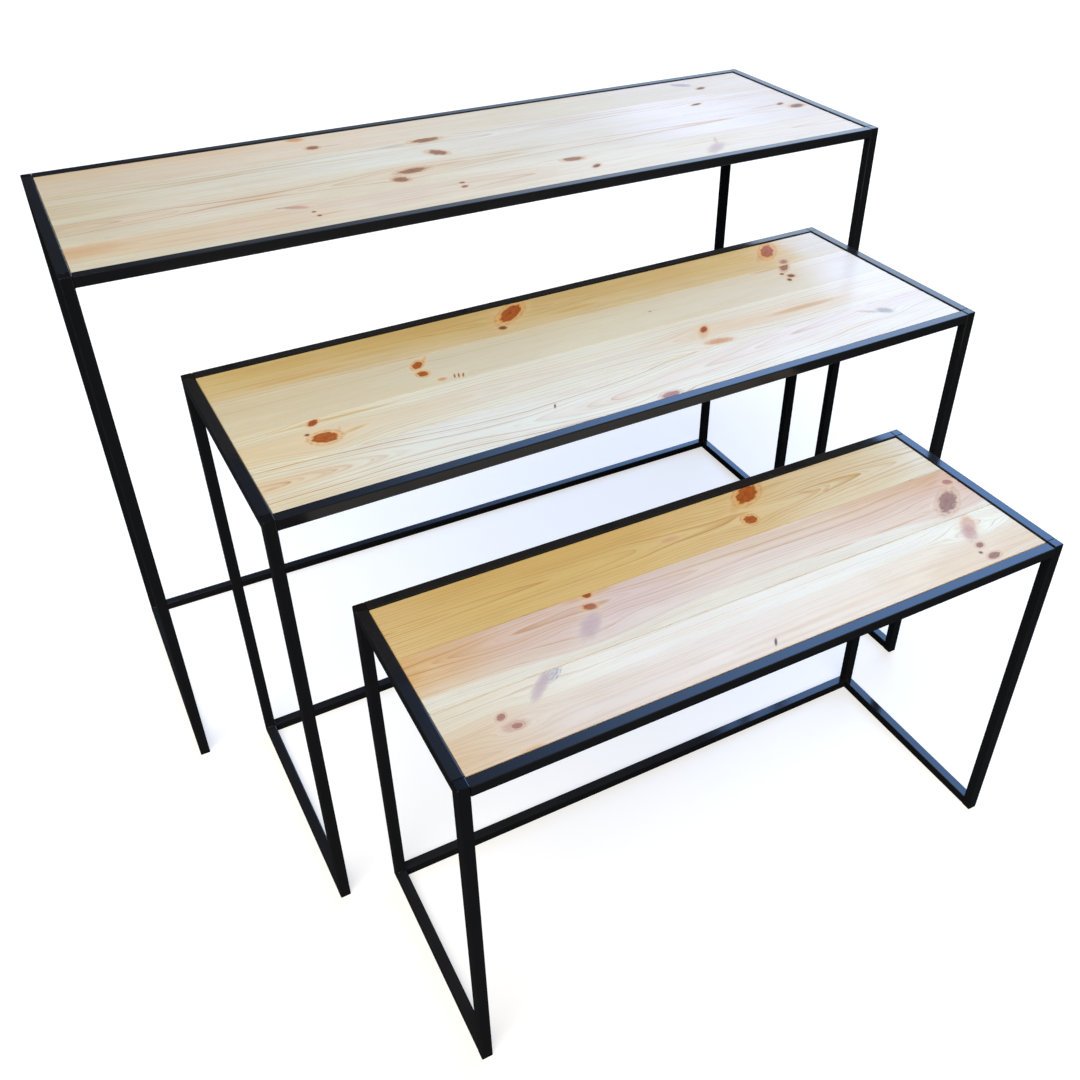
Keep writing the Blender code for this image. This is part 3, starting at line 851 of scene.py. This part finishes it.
def add_welds(table, paint):
    """Fillets in every corner where a rail or crossbar meets a leg, tacks on the flat bars."""
    tube, length, depth, height = table.tube, table.length, table.depth, table.height
    x_axis, y_axis, up = Vector((1, 0, 0)), Vector((0, 1, 0)), Vector((0, 0, 1))
    work = bmesh.new()
    phase = 0.0
    for end, x in ((1, tube), (-1, length - tube)):
        leg_x = x - end * tube / 2
        for row, y in ((1, tube), (-1, depth - tube)):
            leg_y = y - row * tube / 2
            rail = "front" if row == 1 else "back"
            below_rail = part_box(f"{table.name}_top_rail_{rail}")[0].z
            joints = [((x, leg_y, below_rail), y_axis, x_axis * end, -up),
                      ((leg_x, y, height - tube), x_axis, y_axis * row, -up),
                      ((leg_x, y, tube), x_axis, y_axis * row, up)]
            if row == -1:
                joints.append(((x, leg_y, tube), y_axis, x_axis * end, up))
            for shift, (corner, along, out, rise) in enumerate(joints):
                add_bead(work, Vector(corner), along, out, rise, BEAD_RADIUS, BEAD_LENGTH,
                         phase + shift)
            phase += CORNER_PHASE
            if (table.name, rail, end) in FILLED_SEAMS:
                add_ridge(work, Vector((leg_x, y, height)), x_axis, y_axis)
    for middle, underside in bearers(table):
        for row, y in ((1, tube), (-1, depth - tube)):
            corner = Vector((middle.x, y, underside))
            add_bead(work, corner, x_axis, y_axis * row, -up, TACK_RADIUS, TACK_LENGTH, phase)
            phase += TACK_PHASE
    mesh = finished_mesh(f"{table.name}_welds", work, WELD_SHARP)
    add_piece(f"{table.name}_welds", mesh, paint, table.place, BODY[table.name])


# -------- screws under the flat bars

SCREW_SIDES = 24
SCREW_PROFILE = ((2.45, 2.15), (2.95, 1.95), (3.35, 1.55), (3.55, 0.95), (3.60, 0.0))   # mm
CROSS_ARM = 1.9               # mm, from the screw's axis to the end of a recess arm
CROSS_HALF = 0.5              # mm, half an arm's width
CROSS_FLOOR = 0.7             # mm above the bar
CROSS_DRAFT = 0.62            # how much the recess narrows to its floor
SCREW_PLACES = (0.26, 0.74)   # two screws across each board, shares of its width
SCREW_TURN = 0.9              # radians from one screw's recess to the next one's


def cross_outline():
    """Points round a cross, in step with those of the screw's circles."""
    arm, half = CROSS_ARM, CROSS_HALF
    corners = []
    for quarter in range(4):
        turn = Matrix.Rotation(math.radians(90 * quarter), 2)
        corners += [turn @ Vector(point) for point in ((arm, -half), (arm, half), (half, half))]
    points = []
    for first, second in zip(corners, corners[1:] + corners[:1]):
        points += [first, (first + second) / 2]
    return points


def add_screw(work, place, turn):
    """A pan head with a cross recess, hanging from place."""
    cross = cross_outline()
    start = math.radians(-360 / SCREW_SIDES)
    circle = [Vector((math.cos(start + 2 * math.pi * i / SCREW_SIDES),
                      math.sin(start + 2 * math.pi * i / SCREW_SIDES))) for i in range(SCREW_SIDES)]
    levels = [([point * CROSS_DRAFT for point in cross], CROSS_FLOOR),
              (cross, SCREW_PROFILE[0][1])]
    levels += [([point * radius for point in circle], rise) for radius, rise in SCREW_PROFILE]
    spin = Matrix.Rotation(turn, 2)
    loops = []
    for points, rise in levels:
        loops.append([place + Vector((*(spin @ point), -rise)) * MM for point in points])
    sweep(work, loops)


def add_screws(table, zinc):
    """Two screws through each flat bar into each board."""
    pitch = board_pitch(table)
    work = bmesh.new()
    turn = 0.0
    for middle, underside in bearers(table):
        for index in range(len(BOARDS[table.name])):
            for share in SCREW_PLACES:
                y = table.tube + SIDE_GAP + (index + share) * pitch
                add_screw(work, Vector((middle.x, y, underside)), turn)
                turn += SCREW_TURN
    mesh = finished_mesh(f"{table.name}_screws", work, SCREW_SHARP)
    add_piece(f"{table.name}_screws", mesh, zinc, table.place, BODY[table.name])


ZINC_BRIGHT = (0.62, 0.63, 0.64)
ZINC_DULL = (0.40, 0.40, 0.38)
ZINC_LEVELS = (0.35, 0.7)     # noise levels between which it turns dull
ZINC_GLOSS_LEVELS = (0.3, 0.8)
ZINC_ROUGHNESS = (0.26, 0.48)
ZINC_PATCH_SCALE = 350.0      # noise features per metre
ZINC_BRUSH_SCALE = 2600.0
ZINC_BRUSH_DEPTH = 0.05 * MM
ZINC_BRUSH_STRENGTH = 0.15


def zinc_plate(name):
    """Bright zinc plating with faint brushing and dull patches."""
    material, nodes, shader = new_material(name)
    place = nodes.add("ShaderNodeTexCoord", out=3)
    patch = nodes.noise(place, ZINC_PATCH_SCALE, 3.0, 0.6)
    fine = nodes.noise(place, ZINC_BRUSH_SCALE)
    colour = nodes.mix(nodes.steps(patch, *ZINC_LEVELS), ZINC_BRIGHT, ZINC_DULL)
    rough = nodes.steps(patch, *ZINC_GLOSS_LEVELS, *ZINC_ROUGHNESS)
    nodes.fill(shader, {"Base Color": colour, "Metallic": 1.0, "Roughness": rough,
                        "Normal": nodes.bump(ZINC_BRUSH_STRENGTH, ZINC_BRUSH_DEPTH, fine)})
    return material


# -------- stage: floor, light, camera

FLOOR_RADIUS = 90.0
FLOOR_SIDES = 180
FLOOR_DROP = 0.2 * MM
FLOOR_ROUGHNESS = 0.9
FLOOR_SEEN = (0.58, 0.56, 0.53)  # the floor's colour as the camera sees it
FLOOR_MIRRORED = (0.020, 0.020, 0.020)  # in reflections, and then in diffuse light
FLOOR_BOUNCE = (0.14, 0.14, 0.14)
FLOOR_GLOW = 0.58  # makes the seen floor nearly white


def add_floor():
    mesh = bpy.data.meshes.new("floor")
    work = bmesh.new()
    bmesh.ops.create_circle(work, cap_ends=True, radius=FLOOR_RADIUS, segments=FLOOR_SIDES)
    work.to_mesh(mesh)
    work.free()
    floor = bpy.data.objects.new("floor", mesh)
    floor.location = (0.0, 0.0, -FLOOR_DROP)
    bpy.context.scene.collection.objects.link(floor)
    material, nodes, shader = new_material("floor_paper")
    seen = nodes.add("ShaderNodeLightPath", out="Is Camera Ray")
    bounced = nodes.add("ShaderNodeLightPath", out="Is Diffuse Ray")
    colour = nodes.mix(bounced, FLOOR_MIRRORED, FLOOR_BOUNCE)
    nodes.fill(shader, {"Base Color": nodes.mix(seen, colour, FLOOR_SEEN),
                        "Roughness": FLOOR_ROUGHNESS, "Specular IOR Level": 0.0,
                        "Emission Color": (1.0, 1.0, 1.0),
                        "Emission Strength": nodes.times(seen, FLOOR_GLOW)})
    mesh.materials.append(material)


# The soft panel's light, low and high, and the height (sine of elevation) where one turns into
# the other. The panel begins at these values of x, of y and of height in a unit direction.
SKY_LOW = (2.20, 2.70, 3.50)
SKY_HIGH = (1.75, 3.30, 6.70)
SKY_TURNS = (0.36, 0.54)
PANEL_LEVELS = (0.50, 0.36)  # above and below these heights it has its own side edge
PANEL_UPPER_X = (0.14, 0.61)
PANEL_LOWER_X = (0.20, 0.72)
PANEL_LOWER_FAINT_X = (0.05, 0.20)
PANEL_FAINT = 0.1
PANEL_Y = (-0.15, 0.30)
PANEL_HEIGHT = (0.08, 0.36)
ROOM_Y = (0.15, -0.25)
ROOM_NEAR = (0.085, 0.085, 0.095)
ROOM_FAR = (0.030, 0.030, 0.034)
BACKDROP = (1.0, 1.0, 1.0)


def add_world():
    """A pale blue soft panel that fills the right and back, fading into a dim room."""
    world = bpy.data.worlds.new("studio")
    bpy.context.scene.world = world
    world.use_nodes = True
    nodes = Nodes(world.node_tree)
    back = world.node_tree.nodes["Background"]
    direction = nodes.add("ShaderNodeTexCoord", out=0)
    x, y, z = nodes.split(direction)
    upper = nodes.steps(x, *PANEL_UPPER_X)
    lower = nodes.math("MULTIPLY_ADD", nodes.steps(x, *PANEL_LOWER_X), 1 - PANEL_FAINT,
                       nodes.steps(x, *PANEL_LOWER_FAINT_X, 0.0, PANEL_FAINT))
    panel = nodes.mix(nodes.steps(z, *PANEL_LEVELS), upper, lower)
    panel = nodes.times(panel, nodes.steps(y, *PANEL_Y))
    panel = nodes.times(panel, nodes.steps(z, *PANEL_HEIGHT))
    sky = nodes.mix(nodes.steps(z, *SKY_TURNS), SKY_LOW, SKY_HIGH)
    room = nodes.mix(nodes.steps(y, *ROOM_Y), ROOM_FAR, ROOM_NEAR)
    lit = nodes.mix(panel, room, sky)
    seen = nodes.add("ShaderNodeLightPath", out="Is Camera Ray")
    nodes.fill(back, {"Color": nodes.mix(seen, lit, BACKDROP), "Strength": 1.0})


SUN_FROM = (-0.45, -0.55, 0.90)
SUN_STRENGTH = 2.95
SUN_SPREAD = 50.0             # degrees across, for soft shadows
SUN_COLOUR = (1.0, 0.955, 0.87)


def add_lights():
    """One wide soft key light from the front left, far enough away to light all alike."""
    data = bpy.data.lights.new("key_light", "SUN")
    data.energy = SUN_STRENGTH
    data.angle = math.radians(SUN_SPREAD)
    data.color = SUN_COLOUR
    light = bpy.data.objects.new("key_light", data)
    bpy.context.scene.collection.objects.link(light)
    light.rotation_euler = Vector(SUN_FROM).to_track_quat("Z", "Y").to_euler()


# The camera stands to the left of the set's front, at head height, and looks down and right
CAMERA_PLACE = (-0.70525, -1.30263, 1.47575)
CAMERA_HEADING = 28.558       # degrees from +Y towards +X
CAMERA_TILT = 36.458          # degrees below the horizon
CAMERA_ROLL = 0.277
CAMERA_LENS = 36.42
CAMERA_SENSOR = 36.0
CAMERA_SHIFT = (-0.0369, -0.0222)


def add_camera():
    data = bpy.data.cameras.new("camera")
    data.sensor_width = CAMERA_SENSOR
    data.lens = CAMERA_LENS
    data.shift_x, data.shift_y = CAMERA_SHIFT
    camera = bpy.data.objects.new("camera", data)
    bpy.context.scene.collection.objects.link(camera)
    heading, tilt, roll = (math.radians(a) for a in (CAMERA_HEADING, CAMERA_TILT, CAMERA_ROLL))
    forward = Vector((math.sin(heading) * math.cos(tilt), math.cos(heading) * math.cos(tilt),
                      -math.sin(tilt)))
    level = Vector((math.cos(heading), -math.sin(heading), 0.0))
    upright = level.cross(forward)
    right = math.cos(roll) * level + math.sin(roll) * upright
    up = math.cos(roll) * upright - math.sin(roll) * level
    turn = Matrix((right, up, -forward)).transposed().to_4x4()
    camera.matrix_world = Matrix.Translation(CAMERA_PLACE) @ turn
    bpy.context.scene.camera = camera


# -------- build

def paint_frames():
    """Assigns the powder coats to the CAD tubes and flat bars, and returns the tubes' coat."""
    tubes = powder_coat("frame_powder_coat", TUBE_ROUGHNESS)
    bars = powder_coat("bearer_powder_coat", BAR_ROUGHNESS)
    for node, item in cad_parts.items():
        if "_board_" in node:
            continue
        item.data.materials.clear()
        item.data.materials.append(bars if "_bearer_" in node else tubes)
    return tubes


def main():
    scene = bpy.context.scene
    scene.view_settings.view_transform = "Standard"
    add_camera()
    add_world()
    add_lights()
    add_floor()
    paint = paint_frames()
    zinc = zinc_plate("screw_zinc")
    for table in TABLES.values():
        add_boards(table)
        add_welds(table, paint)
        add_screws(table, zinc)


main()
